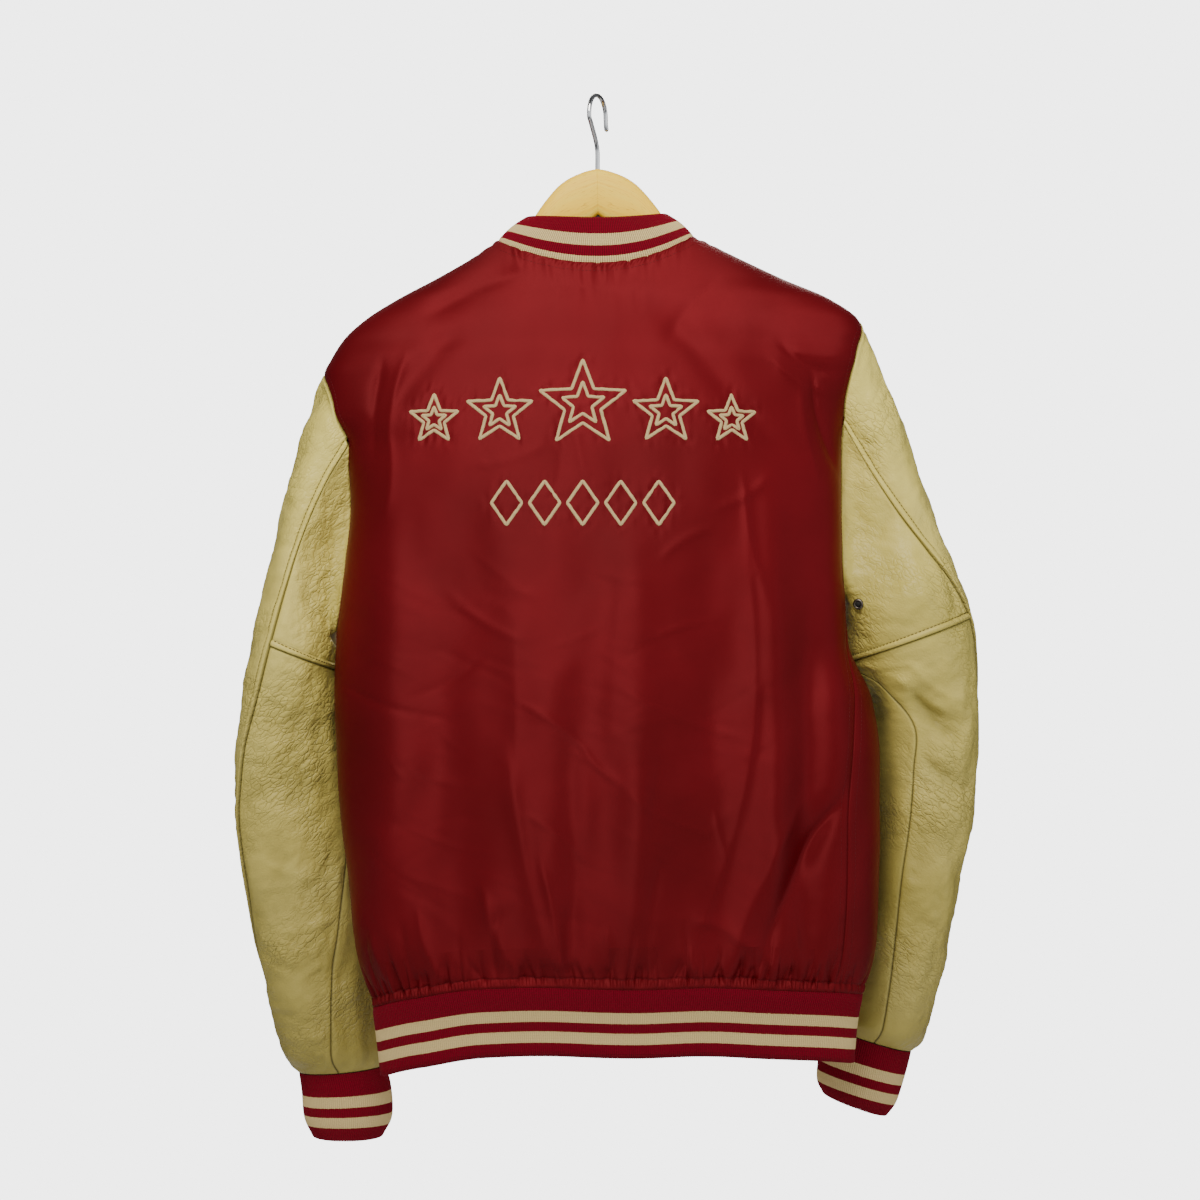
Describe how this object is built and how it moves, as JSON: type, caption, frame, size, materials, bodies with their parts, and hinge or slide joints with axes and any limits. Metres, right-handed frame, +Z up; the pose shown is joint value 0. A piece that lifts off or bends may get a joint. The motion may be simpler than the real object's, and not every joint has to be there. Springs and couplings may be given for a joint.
{
  "type": "varsity jacket on a wooden hanger",
  "caption": "Varsity jacket with a satin body, leather sleeves and striped rib knit collar, cuffs and hem, hung empty on a wooden hanger with a wire hook.",
  "frame": {"origin": "the underside of the hook's top arc, where a rail carries it", "axes": "+Z up, the jacket's front faces -Y and its back +Y, +X is the wearer's left"},
  "size_m": [0.6255, 0.2064, 0.8889],
  "materials": {
    "satin": "satin",
    "leather": "semi-matte grain",
    "rib_knit": "matte knit",
    "beech": "clear varnish",
    "chrome": "polished",
    "dark_nickel": "dark nickel plate"
  },
  "bodies": {
    "root": {"back_panel": "satin", "front_left": "satin", "front_right": "satin", "sleeve_top_left": "leather", "sleeve_under_upper_left": "leather", "sleeve_under_lower_left": "leather", "sleeve_top_right": "leather", "sleeve_under_upper_right": "leather", "sleeve_under_lower_right": "leather", "collar_rib": "rib_knit", "hem_rib": "rib_knit", "cuff_rib_left": "rib_knit", "cuff_rib_right": "rib_knit", "hanger_arm_left": "beech", "hanger_arm_right": "beech", "hanger_hook": "chrome", "eyelet_right": "dark_nickel", "snap_1": "dark_nickel", "snap_2": "dark_nickel", "snap_3": "dark_nickel", "snap_4": "dark_nickel", "snap_5": "dark_nickel", "snap_6": "dark_nickel", "snap_7": "dark_nickel"}
  },
  "joints": []
}
